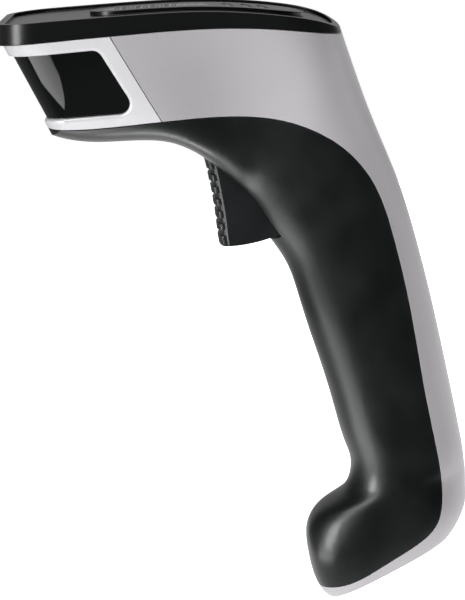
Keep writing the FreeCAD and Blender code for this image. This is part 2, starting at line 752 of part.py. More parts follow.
def trigger_bracket():
    """Frame that holds the pin, the spring's upper seat and the switch board."""
    x, z = PIVOT
    board_back = SWITCH_BACK + BOARD
    low = BRACKET_TOP - BRACKET_SHEET
    plate = box(-50.0, board_back, -BRACKET_OUTER, BRACKET_OUTER, low, BRACKET_TOP)
    rear = box(board_back + 0.1, board_back + 0.1 + BRACKET_SHEET, -9.0, 9.0, 97.0, BRACKET_TOP)
    link = box(SWITCH_BACK, board_back + 0.1 + BRACKET_SHEET, -9.0, 9.0, low, BRACKET_TOP)
    frame = plate.fuse([rear, link])
    sheet = BRACKET_OUTER - BRACKET_INNER
    for y in (-BRACKET_OUTER, BRACKET_INNER):
        ear = rod(at(x, z, y), ACROSS, sheet, BRACKET_EAR)
        cheek = box(x - BRACKET_EAR, x + BRACKET_EAR, y, y + sheet, z, BRACKET_TOP)
        frame = frame.fuse([ear, cheek])
    seat = rod(at(SPRING_X, SPRING_HIGH - 1.5), UP, 2.0, SPRING_COIL - SPRING_WIRE - 0.25)
    frame = frame.fuse(seat).common(tube(WALL + FIT))
    return one(frame.cut(across(x, z, PIN_RADIUS + 0.01, 30)))


def trigger_spring():
    low = SPRING_LOW + SPRING_WIRE
    rise = SPRING_HIGH - SPRING_LOW - 2 * SPRING_WIRE
    steps = SPRING_TURNS * SPRING_STEPS
    spots = []
    for i in range(steps + 1):
        turn = 2 * math.pi * i / SPRING_STEPS
        x = SPRING_X + SPRING_COIL * math.cos(turn)
        spots.append(at(x, low + rise * i / steps, SPRING_COIL * math.sin(turn)))
    return round_rod(spots, SPRING_WIRE)


def trigger_switch():
    wide, tall = SWITCH_HALF
    body = box(SWITCH_FRONT, SWITCH_BACK, -wide, wide, SWITCH_Z - tall, SWITCH_Z + tall)
    bore = rod(at(SWITCH_FRONT - 1.0, SWITCH_Z), AHEAD * -1.0, 5.2, PLUNGER_RADIUS + PLUNGER_ROOM)
    return body.cut(bore)


def switch_plunger():
    stem = rod(at(PLUNGER_TIP, SWITCH_Z), AHEAD * -1.0, PLUNGER_LENGTH, PLUNGER_RADIUS)
    tip = [edge for edge in stem.Edges if abs(edge.CenterOfMass.x - PLUNGER_TIP) < 0.01]
    return stem.makeChamfer(0.3, tip)


def trigger_board():
    return box(SWITCH_BACK, SWITCH_BACK + BOARD, -8.5, 8.5, 97.5, 115.0)


# ---------------------------------------------------------------- scan engine
def ahead(x, y, length, radius):
    """Cylinder at the engine's middle height that points at the window from x."""
    return rod(at(x, ENGINE_MIDDLE, y), AHEAD, length, radius)


def scan_engine():
    front, rear = ENGINE_X
    block = box(front, rear, -ENGINE_HALF, ENGINE_HALF, ENGINE_Z[0], ENGINE_Z[1])
    block = block.makeFillet(1.0, edges_along(block, AHEAD))
    block = block.cut(ahead(front + 6.0, LENS_Y, 20, LENS_RADIUS))
    for y in LAMP_Y:
        block = block.cut(ahead(front + 2.0, y, 20, LAMP_RADIUS + 0.05))
    block = block.cut(ahead(front + 3.0, AIMER_Y, 20, AIMER_RADIUS + 0.05))
    for x, y in ENGINE_SCREWS:
        block = block.cut(rod(at(x, ENGINE_Z[0] - 1, y), UP, 5.0, M2 + HOLE))
    return block


def engine_lens():
    """Lens barrel with a domed front glass, one turned solid."""
    front = ENGINE_X[0]
    bore = LENS_RADIUS - 1.5
    barrel = ahead(front + 5.9, LENS_Y, 6.4, LENS_RADIUS - 0.1).cut(ahead(front + 1.0, LENS_Y, 8, bore))
    dome = Part.makeSphere(5.0, at(front + 5.0, ENGINE_MIDDLE, LENS_Y))
    glass = dome.common(ahead(front + 2.0, LENS_Y, 4, bore - 0.05))
    return one(barrel.fuse(glass))


def illumination_leds():
    front = ENGINE_X[0]
    leds = []
    for y in LAMP_Y:
        stem = ahead(front + 1.9, y, 2.2, LAMP_RADIUS)
        dome = Part.makeSphere(LAMP_RADIUS, at(front - 0.3, ENGINE_MIDDLE, y))
        leds.append(stem.fuse(dome).removeSplitter())
    return Part.makeCompound(leds)


def aiming_led():
    return ahead(ENGINE_X[0] + 2.9, AIMER_Y, 3.2, AIMER_RADIUS)


def engine_bracket():
    """Tray under the scan engine, standing on the floor of the head."""
    front, rear = ENGINE_X[0], ENGINE_X[1] + 1.0 + TRAY_SHEET
    floor = ENGINE_Z[0]
    under = floor - TRAY_SHEET
    half = ENGINE_HALF + 2.0
    tray = box(front + 0.5, rear, -half, half, under, floor - LOOSE)
    stop = box(rear - TRAY_SHEET, rear, -9.0, 9.0, under, floor + 6.0)
    legs = []
    for y in (-half + 0.8, half - 0.8):
        legs.append(box(front + 2.0, rear, y - 0.8, y + 0.8, 120.0, floor - 1.0))
    tray = tray.fuse([stop] + legs).common(tube(WALL + LOOSE))
    for x, y in ENGINE_SCREWS:
        tray = tray.cut(rod(at(x, 120.0, y), UP, 20.0, M2 + 0.2))
    return one(tray)


def small_screw(head_face, direction, length, radius, head_radius, head_height):
    """Screw from the centre of its head's outer face, length long to its tip."""
    head = rod(head_face, direction, head_height, head_radius)
    shank = rod(head_face, direction, length, radius)
    screw = head.fuse(shank)
    other = direction.cross(ACROSS)
    long = 1.24 * head_radius
    narrow = 0.28 * head_radius
    for a, b in ((ACROSS, other), (other, ACROSS)):
        corner = head_face - a * (0.5 * long) - b * (0.5 * narrow) - direction * 1.0
        far = corner + a * long
        slot = Part.makePolygon([corner, far, far + b * narrow, corner + b * narrow, corner])
        screw = screw.cut(Part.Face(slot).extrude(direction * (1.0 + 0.5 * head_height)))
    return one(screw)


def engine_screws():
    low = ENGINE_Z[0] - 2.9
    return Part.makeCompound([small_screw(at(x, low, y), UP, 6.4, M2, 1.9, 1.2) for x, y in ENGINE_SCREWS])


# ---------------------------------------------------------------- main board
def main_board():
    board = box(BOARD_X[0], BOARD_X[1], -BOARD_HALF, BOARD_HALF, BOARD_TOP - BOARD, BOARD_TOP)
    board = board.makeFillet(2.0, edges_along(board, UP))
    for x, y in BOARD_SCREWS:
        board = board.cut(rod(Vector(x, y, 140), UP, 20, M2 + FREE_HOLE))
    return board


def board_screws():
    top = BOARD_TOP + 1.3 + LOOSE
    down = UP * -1.0
    screws = [small_screw(Vector(x, y, top), down, 6.0, M2, 1.9, 1.3) for x, y in BOARD_SCREWS]
    return Part.makeCompound(screws)


def board_chips():
    """Processor, radio module, memory and regulator on top of the board."""
    sizes = ((-57.0, 0.0, 12.0, 12.0, 1.4), (-62.0, -13.5, 10.0, 8.0, 1.2),
             (-56.0, 13.0, 8.0, 6.0, 1.0), (-44.0, -13.0, 5.0, 6.0, 1.1))
    base = BOARD_TOP + LOOSE
    return Part.makeCompound([box(x - 0.5 * a, x + 0.5 * a, y - 0.5 * b, y + 0.5 * b, base, base + h)
                              for x, y, a, b, h in sizes])


def indicator_leds():
    base = BOARD_TOP + LOOSE
    return Part.makeCompound([box(x - 0.8, x + 0.8, -1.7, 1.7, base, base + 1.2) for x in LIGHT_X])


def light_guide():
    """Clear block that carries the light from the board to the slanted windows."""
    guides = []
    low = BOARD_TOP + 1.4
    for x in LIGHT_X:
        guide = slot_stadium(6.0, 1.6, low, 200.0)
        guide.rotate(Vector(0, 0, 0), UP, LIGHT_SLANT)
        guide.translate(Vector(x, 0, 0))
        guides.append(guide)
    foot = box(LIGHT_X[0] - 1.2, LIGHT_X[-1] + 1.2, -1.6, 1.6, low, low + 1.2)
    return one(foot.fuse(guides).common(under_top(RIM_HEIGHT + COVER_WALL + 0.62)))


def buzzer():
    """Round can under the board with its sound hole at the bottom."""
    middle = Vector(-42.0, 12.0, BOARD_TOP - BOARD - LOOSE)
    can = rod(middle - UP * 4.0, UP, 4.0, 4.5)
    return can.cut(rod(middle - UP * 5.0, UP, 2.0, 1.0))


def lead_connector():
    """White socket under the board that takes the battery and switch leads."""
    top = BOARD_TOP - BOARD - LOOSE
    socket = box(-38.0, -31.0, -4.5, 4.5, top - 4.5, top)
    return socket.cut(box(-37.2, -31.8, -3.7, 3.7, top - 5.0, top - 1.5))


def lead(points, radius, spots=17):
    """Round lead through a few points."""
    curve = Part.BSplineCurve()
    curve.interpolate(Points=points)
    first, last = curve.FirstParameter, curve.LastParameter
    return round_rod([curve.value(first + (last - first) * i / (spots - 1)) for i in range(spots)], radius)


def battery_leads():
    wires = []
    for y in (-1.6, 1.6):
        start = cell_point(-5.6, 3.0, y)
        bends = [start - CELL_DOWN * 9.0 + Vector(1.0, 0, 0), at(-14.0, 126.0, y), at(-25.0, 137.5, y)]
        wires.append(lead([start] + bends + [at(-34.5, 142.6, y)], 0.6))
    return Part.makeCompound(wires)


def flex_cable():
    """Flat cable from the back of the scan engine up to the main board."""
    start = ENGINE_X[1] + 0.05
    outline = [(start, 143.0), (-73.0, 143.0), (-71.2, 144.6), (-69.4, 146.9), (-66.0, 146.9),
               (-66.0, 146.65), (-69.2, 146.65), (-71.0, 144.4), (-72.9, 142.7), (start, 142.7)]
    return through(side_polygon(outline), 6.0)


# ---------------------------------------------------------------- battery
def battery_cell():
    can = rod(cell_point(0), CELL_DOWN, CELL_LENGTH, CELL_RADIUS)
    can = can.makeFillet(0.8, can.Edges[:1] + can.Edges[-1:])
    return one(can.fuse(rod(cell_point(-1.0), CELL_DOWN, 2.0, 2.8)))


def battery_holder():
    """Half trough behind the cell with a wall at each end."""
    end_wall = 1.6
    length = CELL_LENGTH + 7.0
    inside = rod(cell_point(-4.5 + end_wall), CELL_DOWN, length - 2 * end_wall, HOLDER_INNER)
    trough = rod(cell_point(-4.5), CELL_DOWN, length, HOLDER_OUTER).cut(inside)
    corner = cell_point(-10.0, -31.0, -30.0)
    far = corner + ACROSS * 60.0
    rise = CELL_BACK * 30.0
    front = Part.makePolygon([corner, far, far + rise, corner + rise, corner])
    trough = trough.cut(Part.Face(front).extrude(CELL_DOWN * 120.0))
    for down in HOLDER_SCREWS:
        trough = trough.cut(rod(cell_point(down, HOLDER_INNER - 1.0), CELL_BACK, 5.0, M2 + FREE_HOLE))
        trough = trough.cut(rod(cell_point(down, HOLDER_INNER - 1.5), CELL_BACK, 2.45, 2.0))
    return one(trough)


def holder_screws():
    screws = []
    for down in HOLDER_SCREWS:
        head_face = cell_point(down, HOLDER_INNER + 0.05)
        screws.append(small_screw(head_face, CELL_BACK, HOLDER_SCREW_LENGTH, M2, 1.85, 0.85))
    return Part.makeCompound(screws)


def battery_contacts():
    """A flat tab at the button end and a short cone spring at the other."""
    tab = rod(cell_point(-2.85), CELL_DOWN, 1.8, 3.5)
    foot = rod(cell_point(CELL_LENGTH + 0.35), CELL_DOWN, 0.4, 4.0)
    ring = rod(cell_point(CELL_LENGTH + 0.05), CELL_DOWN, 0.5, 2.6)
    return Part.makeCompound([tab, foot.fuse(ring).removeSplitter()])


# ---------------------------------------------------------------- base
def charge_board():
    low, high = CHARGE_BOARD
    board = box(-6.5, 8.5, -9.5, 9.5, low, high)
    board = board.cut(slot_stadium(PORT_WIDTH + 0.1, PORT_DEPTH + 0.1, 0, 20))
    return on_base(board)


def charge_port():
    """Oval receptacle with its contact tongue, open towards the base face."""
    sleeve = slot_stadium(PORT_WIDTH, PORT_DEPTH, 0.3, PORT_HEIGHT + 0.6)
    mouth = slot_stadium(PORT_WIDTH - 2 * PORT_SHEET, PORT_DEPTH - 2 * PORT_SHEET, 0.0, PORT_HEIGHT)
    tongue = box(-0.35, 0.35, -3.3, 3.3, 1.6, PORT_HEIGHT + 0.3)
    return on_base(sleeve.cut(mouth).fuse(tongue))


def charge_chips():
    """Two chips and a capacitor on the charging board."""
    low = CHARGE_BOARD[1] + LOOSE
    chips = [box(3.0, 7.0, -2.5, 2.5, low, low + 1.0), box(2.8, 5.0, 4.0, 7.0, low, low + 0.8),
             box(-5.5, -3.0, -3.0, 3.0, low, low + 2.2)]
    return on_base(Part.makeCompound(chips))


def base_screws():
    """Countersunk screws with a cross cut in the head."""
    screws = []
    low = 0.25
    for spot in BASE_SCREWS:
        foot = Vector(spot, 0, low)
        screw = rod(foot, UP, 10.5, M3).fuse(Part.makeCone(BASE_BOSS - 0.5, M3, 1.3, foot, UP))
        for a, b in ((1.7, 0.35), (0.35, 1.7)):
            screw = screw.cut(box(spot - a, spot + a, -b, b, 0.0, 1.1))
        screws.append(on_base(one(screw)))
    return Part.makeCompound(screws)


NODES = {
    "main_housing": main_housing(),
    "front_bezel": front_bezel(),
    "scan_window": scan_window(),
    "window_seal": window_seal(),
    "grip_housing": grip_housing(),
    "top_cover": top_cover(),
    "label_plate": label_plate(),
    "indicator_lenses": indicator_lenses(),
    "light_guide": light_guide(),
    "trigger": trigger(),
    "trigger_pin": trigger_pin(),
    "trigger_bracket": trigger_bracket(),
    "trigger_spring": trigger_spring(),
    "trigger_switch": trigger_switch(),
    "switch_plunger": switch_plunger(),
    "trigger_board": trigger_board(),
    "scan_engine": scan_engine(),
    "engine_lens": engine_lens(),
    "illumination_leds": illumination_leds(),
    "aiming_led": aiming_led(),
    "engine_bracket": engine_bracket(),
    "engine_screws": engine_screws(),
    "main_board": main_board(),
    "board_screws": board_screws(),
    "board_chips": board_chips(),
    "indicator_leds": indicator_leds(),
    "buzzer": buzzer(),
    "lead_connector": lead_connector(),
    "battery_leads": battery_leads(),
    "flex_cable": flex_cable(),
    "battery_cell": battery_cell(),
    "battery_holder": battery_holder(),
    "holder_screws": holder_screws(),
    "battery_contacts": battery_contacts(),
    "charge_board": charge_board(),
    "charge_port": charge_port(),
    "charge_chips": charge_chips(),
    "base_screws": base_screws(),
}

os.makedirs("parts", exist_ok=True)
for name, shape in NODES.items():
    shape.exportStep("parts/%s.step" % name)
    print(name, shape.isValid(), len(shape.Solids), [round(s.Volume, 1) for s in shape.Solids])
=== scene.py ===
"""Looks of a handheld barcode scanner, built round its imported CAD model. Lengths are in metres."""
import math

import bmesh
import bpy
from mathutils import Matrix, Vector
from mathutils.bvhtree import BVHTree


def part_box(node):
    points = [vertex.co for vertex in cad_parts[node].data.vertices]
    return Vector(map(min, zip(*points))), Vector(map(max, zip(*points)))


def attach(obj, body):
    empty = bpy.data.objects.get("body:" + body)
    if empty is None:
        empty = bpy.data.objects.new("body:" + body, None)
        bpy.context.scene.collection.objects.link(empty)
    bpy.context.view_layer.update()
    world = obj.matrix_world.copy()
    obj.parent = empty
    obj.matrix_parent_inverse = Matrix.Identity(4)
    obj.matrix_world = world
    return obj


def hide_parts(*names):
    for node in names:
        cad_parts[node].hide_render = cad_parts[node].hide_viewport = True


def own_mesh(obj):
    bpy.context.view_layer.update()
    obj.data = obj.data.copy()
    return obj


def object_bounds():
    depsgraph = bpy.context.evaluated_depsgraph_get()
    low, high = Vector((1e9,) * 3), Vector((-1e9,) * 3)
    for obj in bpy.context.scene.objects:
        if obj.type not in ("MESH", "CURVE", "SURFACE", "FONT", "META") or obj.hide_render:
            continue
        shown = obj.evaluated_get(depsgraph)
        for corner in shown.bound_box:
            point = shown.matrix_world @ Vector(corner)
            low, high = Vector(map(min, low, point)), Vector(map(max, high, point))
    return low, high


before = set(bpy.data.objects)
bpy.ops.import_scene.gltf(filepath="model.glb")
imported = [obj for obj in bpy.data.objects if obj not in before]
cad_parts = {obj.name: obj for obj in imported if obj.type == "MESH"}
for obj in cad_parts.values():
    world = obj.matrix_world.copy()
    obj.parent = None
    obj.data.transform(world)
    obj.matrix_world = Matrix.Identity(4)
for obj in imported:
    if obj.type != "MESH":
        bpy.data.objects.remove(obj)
cad_low, cad_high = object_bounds()

MM = 0.001
BODY = "scanner_body"

# camera
AIM = Vector((-0.043857, 0.0, 0.07687))
CAMERA_DISTANCE = 0.9
CAMERA_RISE = math.radians(9.0)
CAMERA_LENS = 189.0
SENSOR = 36.0

# stage
FLOOR_DROP = 0.030           # floor below the lowest point of the scanner
FLOOR_RADIUS = 12.0
FLOOR_GLOW = 0.95
ROOM_DARK = 0.05             # brightness of the room and floor on the camera's side
SKY_FADE = (0.80, 0.95)      # where the room turns bright, as part of a unit direction away from the camera
SKY_BRIGHT = 0.5
FLOOR_FADE = (-0.13, 0.06)   # where the floor turns bright, measured from the origin away from the camera
FLOOR_BRIGHT = 1.0
FLOOR_SIDE = (-0.22, -0.12)  # where the floor turns dim on the nose's side, measured across the picture
FLOOR_DIM = 0.15             # share of the brightness left there

# lamps; azimuth 0 is the camera's side and 90 the nose's side, angles are in degrees
FILL_DISTANCE = 1.2
FILL_SIZE = 0.9
FILLS = (
    # name, azimuth, rise, power
    ("fill", 8, -8, 6.8),
    ("back_fill", -50, -4, 3.0),
    ("low_fill", 30, -42, 11),
    ("rear_fill", 170, 6, 8),
    ("far_fill", 240, 10, 7),
    ("heel_fill", 290, -10, 2),
)
SHINES = (
    # name, azimuth, rise, width, power
    ("side_shine", 64, 4, 0.35, 20),
    ("top_shine", 55, 62, 0.9, 12),
)
WIDE = 180                   # spread of a plain lamp
CLOSE_SHINES = (
    # name, node that it lights, place, aim, width, height, power, spread
    ("grip_shine", "grip_housing", (-0.25, -0.015, -0.035), (0.0, 0.0, 0.04), 0.06, 0.10, 0.05, WIDE),
    ("under_shine", "grip_housing", (-0.12, -0.045, -0.02), (-0.09, -0.02, 0.125), 0.10, 0.08, 0.11, WIDE),
    ("rib_shine", "trigger", (-0.30, -0.03, 0.07), (-0.048, -0.011, 0.105), 0.06, 0.12, 0.3, WIDE),
    ("throat_shine", "grip_housing", (-0.066, -0.004, 0.02), (-0.06, -0.023, 0.125), 0.03, 0.09, 0.0018, 22),
)

# card mirrored by the scan window: its middle, its own axes and its corners along them
CARD_MIDDLE = Vector((-0.1362, -0.0569, 0.114))
CARD_ACROSS = Vector((0.669, -0.743, 0.0))
CARD_UP = Vector((-0.371, -0.336, 0.866))
CARD_CORNERS = ((-0.022, -0.005), (0.036, -0.004), (0.056, 0.010), (0.071, 0.050), (-0.022, 0.030))
CARD_GLOW = 4.2
CARD_DIM = 0.45              # share of the glow left at its near end
CARD_FADE = (-0.11, -0.06)   # y from the dim end to the bright one

# printed marks on the label: bars of changing width between two dashed lines
MARKS_INSET = 3.45 * MM      # from the label's front end
PROBE_HEIGHT = 0.3           # a height above the whole scanner
INK_RISE = 0.03 * MM
INK_SINK = 0.02 * MM
BAR_COUNT = 14
BAR_UNIT = 0.42 * MM
BAR_HALF = 3.2 * MM
DASH_COUNT = 12
DASH_PITCH = 2.0 * MM
DASH_LENGTH = 1.4 * MM
DASH_HALF = 0.15 * MM
DASH_INSET = 1.15 * MM       # from the label's long edges

# trigger spring
SPRING_COIL = 2.4 * MM
SPRING_WIRE = 0.28 * MM
SPRING_TURNS = 6
SPRING_STEPS = 24            # spots on each turn
WIRE_CORNERS = 10

WAVE_PITCH = 0.31416         # metres between the bands of a wave texture at scale 1


class Look:
    """One node material while it is being made."""

    def __init__(self, name):
        self.material = bpy.data.materials.new("look_" + name)
        self.material.use_nodes = True
        self.tree = self.material.node_tree
        self.surface = self.tree.nodes["Principled BSDF"]
        self.place = self.add("ShaderNodeTexCoord").outputs["Object"]
        self.heights = []

    def add(self, kind, **settings):
        node = self.tree.nodes.new(kind)
        for name, value in settings.items():
            setattr(node, name, value)
        return node

    def feed(self, socket, value):
        """Links an output to a socket, or sets a plain value on it."""
        if isinstance(value, bpy.types.NodeSocket):
            self.tree.links.new(value, socket)
        elif isinstance(value, tuple) and len(value) == 3 and socket.type == "RGBA":
            socket.default_value = value + (1.0,)
        else:
            socket.default_value = value

    def set(self, **values):
        """Sets Principled inputs; an underscore in a name stands for a space."""
        for name, value in values.items():
            self.feed(self.surface.inputs[name.replace("_", " ")], value)

    def stretched(self, x, y, z):
        """The object's own coordinates, scaled along each axis."""
        node = self.add("ShaderNodeVectorMath", operation="MULTIPLY")
        self.feed(node.inputs[0], self.place)
        node.inputs[1].default_value = (x, y, z)
        return node.outputs[0]

    def noise(self, size, detail=2.0, place=None):
        node = self.add("ShaderNodeTexNoise")
        self.feed(node.inputs["Vector"], place or self.place)
        node.inputs["Scale"].default_value = 1.0 / size
        node.inputs["Detail"].default_value = detail
        return node.outputs["Fac"]

    def cells(self, size, feature="F1", output="Distance"):
        node = self.add("ShaderNodeTexVoronoi", feature=feature)
        self.feed(node.inputs["Vector"], self.place)
        node.inputs["Scale"].default_value = 1.0 / size
        return node.outputs[output]

    def bands(self, pitch, axis, distortion=0.0):
        node = self.add("ShaderNodeTexWave", bands_direction=axis)
        self.feed(node.inputs["Vector"], self.place)
        node.inputs["Scale"].default_value = WAVE_PITCH / pitch
        node.inputs["Distortion"].default_value = distortion
        return node.outputs["Fac"]

    def math(self, operation, first, second=0.0):
        node = self.add("ShaderNodeMath", operation=operation)
        self.feed(node.inputs[0], first)
        self.feed(node.inputs[1], second)
        return node.outputs[0]

    def remap(self, value, low, high, start=0.0, end=1.0):
        node = self.add("ShaderNodeMapRange")
        self.feed(node.inputs["Value"], value)
        for name, number in (("From Min", low), ("From Max", high), ("To Min", start), ("To Max", end)):
            node.inputs[name].default_value = number
        return node.outputs["Result"]

    def mix(self, share, first, second):
        node = self.add("ShaderNodeMix", data_type="RGBA")
        self.feed(node.inputs["Factor"], share)
        colour_a, colour_b = node.inputs[6], node.inputs[7]
        self.feed(colour_a, first)
        self.feed(colour_b, second)
        return node.outputs[2]

    def wear(self, radius, start=0.985, full=0.8):
        """One along the edges of the shape, nought on its faces, broken up by noise."""
        bevel = self.add("ShaderNodeBevel", samples=4)
        bevel.inputs["Radius"].default_value = radius
        true = self.add("ShaderNodeNewGeometry").outputs["Normal"]
        dot = self.add("ShaderNodeVectorMath", operation="DOT_PRODUCT")
        self.feed(dot.inputs[0], bevel.outputs[0])
        self.feed(dot.inputs[1], true)
        edge = self.remap(dot.outputs["Value"], start, full)
        return self.math("MULTIPLY", edge, self.remap(self.noise(2.2 * MM, 4.0), 0.42, 0.62))

    def raise_by(self, value, depth):
        """Adds a relief of this depth to the surface."""
        self.heights.append(self.math("MULTIPLY", value, depth))

    def finish(self, rounding=None):
        """Joins the reliefs into the normal; rounding softens sharp edges by that radius."""
        normal = None
        if rounding:
            bevel = self.add("ShaderNodeBevel", samples=4)
            bevel.inputs["Radius"].default_value = rounding
            normal = bevel.outputs[0]
        if self.heights:
            total = self.heights[0]
            for height in self.heights[1:]:
                total = self.math("ADD", total, height)
            bump = self.add("ShaderNodeBump")
            bump.inputs["Strength"].default_value = 1.0
            bump.inputs["Distance"].default_value = 1.0
            self.feed(bump.inputs["Height"], total)
            if normal:
                self.feed(bump.inputs["Normal"], normal)
            normal = bump.outputs[0]
        if normal:
            self.set(Normal=normal)
        return self.material


def satin_silver(name, dark, light, roughness):
    """Silver paint over moulded plastic: fine flake, faint orange peel, handling marks."""
    look = Look(name)
    flake = look.cells(0.22 * MM, output="Color")
    cloud = look.noise(22 * MM, 3.0)
    share = look.math("ADD", look.math("MULTIPLY", flake, 0.45), look.math("MULTIPLY", cloud, 0.55))
    base = look.mix(share, dark, light)
    worn = look.wear(0.7 * MM)
    look.set(Base_Color=look.mix(look.math("MULTIPLY", worn, 0.35), base, (0.62, 0.61, 0.62)))
    scuff = look.remap(look.noise(1.0, 5.0, look.stretched(900, 900, 130)), 0.55, 0.72)
    look.set(Metallic=0.12, Roughness=look.math("ADD", look.math("MULTIPLY", scuff, 0.10), roughness))
    look.set(Coat_Weight=0.08, Coat_Roughness=0.25)
    look.raise_by(look.noise(1.6 * MM, 1.0), 0.006 * MM)
    look.raise_by(look.noise(0.16 * MM, 1.0), 0.0012 * MM)
    return look.finish(0.25 * MM)


def soft_touch_black(name, colour, roughness, grain, depth):
    """Black moulding with a fine spark-eroded grain, greyer where hands have polished it."""
    look = Look(name)
    cloud = look.noise(16 * MM, 4.0)
    rubbed = tuple(1.5 * part + 0.003 for part in colour)
    base = look.mix(look.remap(cloud, 0.35, 0.7), colour, rubbed)
    worn = look.math("MULTIPLY", look.wear(0.5 * MM), 0.5)
    look.set(Base_Color=look.mix(worn, base, (0.05, 0.05, 0.052)))
    look.set(Roughness=look.remap(cloud, 0.3, 0.7, roughness - 0.04, roughness + 0.05))
    look.set(Specular_IOR_Level=0.5)
    look.raise_by(look.cells(grain), depth)
    look.raise_by(look.noise(grain * 0.6, 2.0), depth * 0.5)
    return look.finish(0.2 * MM)


def gloss_black(name, colour, roughness):
    """Polished black moulding with hairline wipe marks and a little dust."""
    look = Look(name)
    hair = look.noise(1.0, 3.0, look.stretched(420, 5200, 900))
    dust = look.remap(look.noise(0.35 * MM, 3.0), 0.68, 0.74)
    tint = tuple(part + 0.03 for part in colour)
    look.set(Base_Color=look.mix(look.math("MULTIPLY", dust, 0.35), colour, tint))
    look.set(Roughness=look.remap(hair, 0.45, 0.75, roughness, roughness + 0.05))
    look.set(IOR=1.4)
    look.raise_by(look.noise(3.5 * MM, 1.0), 0.004 * MM)
    return look.finish(0.3 * MM)


def filter_window(name):
    """Near-black filter, polished, with a faint waviness and a few specks."""
    look = Look(name)
    speck = look.remap(look.noise(0.3 * MM, 2.0), 0.72, 0.77)
    look.set(Base_Color=look.mix(speck, (0.0045, 0.0055, 0.0050), (0.03, 0.03, 0.03)))
    look.set(Roughness=look.remap(look.noise(9 * MM, 3.0), 0.3, 0.7, 0.05, 0.09))
    look.raise_by(look.noise(12 * MM, 1.0), 0.006 * MM)
    return look.finish(0.15 * MM)


def printed_label(name):
    """Brushed grey label stock under a clear laminate."""
    look = Look(name)
    brush = look.noise(1.0, 3.0, look.stretched(160, 6200, 160))
    look.set(Base_Color=look.mix(look.remap(brush, 0.3, 0.7), (0.30, 0.30, 0.31), (0.46, 0.46, 0.47)))
    look.set(Metallic=0.5, Roughness=look.remap(brush, 0.3, 0.7, 0.25, 0.4))
    look.raise_by(brush, 0.002 * MM)
    return look.finish(0.1 * MM)


def smoked_lens(name):
    """Dark tinted lens over an indicator light."""
    look = Look(name)
    look.set(Base_Color=look.mix(look.noise(2 * MM), (0.03, 0.03, 0.032), (0.07, 0.07, 0.075)))
    look.set(Roughness=look.remap(look.noise(0.7 * MM), 0.3, 0.7, 0.1, 0.2), Coat_Weight=0.5)
    look.raise_by(look.noise(0.5 * MM), 0.002 * MM)
    return look.finish()


def clear_moulding(name, colour, roughness):
    """Clear acrylic or epoxy, slightly frosted."""
    look = Look(name)
    look.set(Base_Color=look.mix(look.noise(3 * MM), colour, tuple(0.9 * part for part in colour)))
    look.set(Transmission_Weight=0.85, IOR=1.49)
    look.set(Roughness=look.remap(look.noise(0.8 * MM), 0.3, 0.7, roughness, roughness + 0.1))
    look.raise_by(look.noise(0.6 * MM), 0.002 * MM)
    return look.finish()


def foam_rubber(name, colour, pore):
    """Closed-cell foam with open pores on its cut face."""
    look = Look(name)
    cells = look.cells(pore)
    look.set(Base_Color=look.mix(cells, tuple(0.5 * part for part in colour), colour), Roughness=0.85)
    look.raise_by(cells, 0.08 * MM)
    return look.finish()


def bright_metal(name, colour, roughness, grain):
    """Steel or brass with drawn grain along one axis, and small dull spots."""
    look = Look(name)
    brush = look.noise(1.0, 4.0, look.stretched(*grain))
    spots = look.remap(look.noise(1.1 * MM, 4.0), 0.5, 0.7)
    shade = look.mix(look.remap(brush, 0.3, 0.7), tuple(0.75 * part for part in colour), colour)
    dull = tuple(0.5 * part for part in colour)
    look.set(Base_Color=look.mix(look.math("MULTIPLY", spots, 0.3), shade, dull))
    look.set(Metallic=1.0, Roughness=look.remap(brush, 0.3, 0.7, roughness - 0.08, roughness + 0.08))
    look.raise_by(brush, 0.003 * MM)
    return look.finish(0.1 * MM)


def solder_mask(name):
    """Green board with lighter copper tracks under the mask and tinned pads."""
    look = Look(name)
    tracks = look.remap(look.bands(2.6 * MM, "DIAGONAL", 3.0), 0.78, 0.84)
    weave = look.noise(0.4 * MM)
    green = look.mix(look.remap(weave, 0.3, 0.7), (0.006, 0.085, 0.035), (0.010, 0.115, 0.05))
    base = look.mix(tracks, green, (0.03, 0.21, 0.08))
    pads = look.remap(look.cells(4.5 * MM), 0.13, 0.10)
    look.set(Base_Color=look.mix(pads, base, (0.62, 0.61, 0.58)), Metallic=pads)
    look.set(Roughness=look.remap(weave, 0.3, 0.7, 0.22, 0.34), Coat_Weight=0.4)
    look.raise_by(tracks, 0.02 * MM)
    look.raise_by(pads, 0.03 * MM)
    return look.finish()


def dark_casting(name, colour):
    """Blackened metal casting, bare along its edges."""
    look = Look(name)
    look.set(Base_Color=look.mix(look.wear(0.3 * MM), colour, (0.22, 0.22, 0.23)))
    look.set(Metallic=0.3, Roughness=look.remap(look.noise(1.4 * MM, 4.0), 0.3, 0.7, 0.42, 0.6))
    look.raise_by(look.noise(0.25 * MM, 3.0), 0.01 * MM)
    return look.finish(0.15 * MM)


def chip_epoxy(name):
    """Matt black chip body."""
    look = Look(name)
    look.set(Base_Color=look.mix(look.noise(0.2 * MM), (0.012, 0.012, 0.013), (0.035, 0.035, 0.036)))
    look.set(Roughness=look.remap(look.noise(0.6 * MM), 0.3, 0.7, 0.5, 0.68))
    look.raise_by(look.noise(0.12 * MM), 0.006 * MM)
    return look.finish(0.08 * MM)


def insulation(name, colour):
    """Soft wire insulation."""
    look = Look(name)
    look.set(Base_Color=look.mix(look.noise(2 * MM), colour, tuple(0.7 * part for part in colour)))
    look.set(Roughness=look.remap(look.noise(0.8 * MM), 0.3, 0.7, 0.38, 0.55), Sheen_Weight=0.1)
    look.raise_by(look.noise(0.3 * MM), 0.004 * MM)
    return look.finish()


